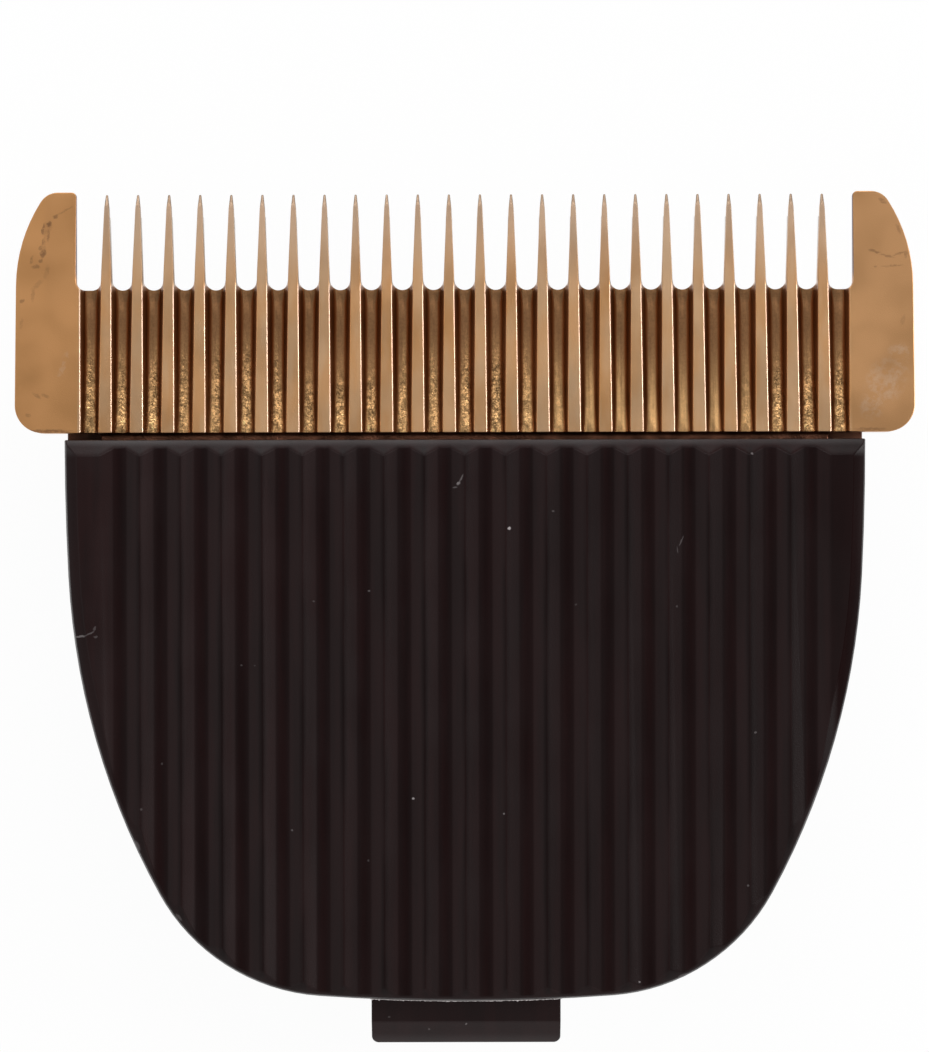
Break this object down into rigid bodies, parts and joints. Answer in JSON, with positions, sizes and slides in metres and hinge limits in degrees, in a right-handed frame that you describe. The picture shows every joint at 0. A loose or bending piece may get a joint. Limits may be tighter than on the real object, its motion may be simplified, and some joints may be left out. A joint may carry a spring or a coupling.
{
  "type": "hair clipper blade",
  "caption": "Clip-on hair clipper blade: gold-coated steel comb with slim teeth and wide ears, ceramic cutter sliding behind it, and a black fluted holder with a latch tongue.",
  "frame": {"origin": "under the middle of the outline, on the plane that the open back rim rests on", "axes": "+Y towards the tooth tips, +Z out of the fluted face, +X along the row of teeth"},
  "size_m": [0.045, 0.0432, 0.009],
  "materials": {
    "black_plastic": "moulded satin black, slightly brown",
    "gold_coated_steel": "ground steel with a satin gold nitride coat, worn and stained",
    "white_ceramic": "lapped white ceramic",
    "grey_plastic": "moulded slippery plastic",
    "spring_steel": "drawn spring wire",
    "plain_steel": "stamped stainless sheet",
    "screw_steel": "zinc-plated"
  },
  "bodies": {
    "blade_body": {"holder": "black_plastic", "fixed_blade": "gold_coated_steel", "tension_spring": "spring_steel", "guide_plate": "plain_steel", "blade_screws": "screw_steel"},
    "cutter": {"moving_blade": "white_ceramic", "drive_yoke": "grey_plastic"}
  },
  "joints": [
    {"name": "cutter_slide", "type": "slide", "parent": "blade_body", "child": "cutter", "axis": [1, 0, 0], "range_m": [-0.0015, 0.0015]}
  ]
}
